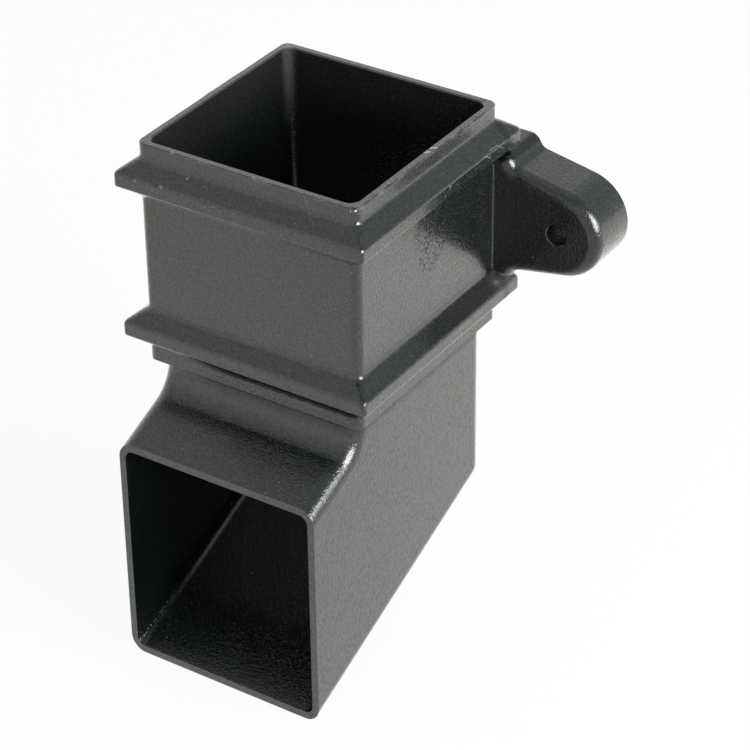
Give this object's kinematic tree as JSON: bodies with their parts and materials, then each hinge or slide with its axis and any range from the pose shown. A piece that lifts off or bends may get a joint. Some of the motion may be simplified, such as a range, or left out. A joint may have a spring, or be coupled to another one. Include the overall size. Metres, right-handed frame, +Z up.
{
  "type": "downpipe offset bend",
  "caption": "Short bend for a square plastic downpipe: a collared socket above, a forward outlet cut off plumb below, and a fixing ear at each side.",
  "frame": {"origin": "centre of the socket's mouth", "axes": "+Z up the socket's axis and out of its mouth, +Y to the wall, X from ear to ear; the outlet leaves towards -Y"},
  "size_m": [0.1372, 0.1032, 0.1561],
  "materials": {
    "plastic": "satin black with a fine cast grain"
  },
  "bodies": {
    "root": {"downpipe_bend": "plastic"}
  },
  "joints": []
}
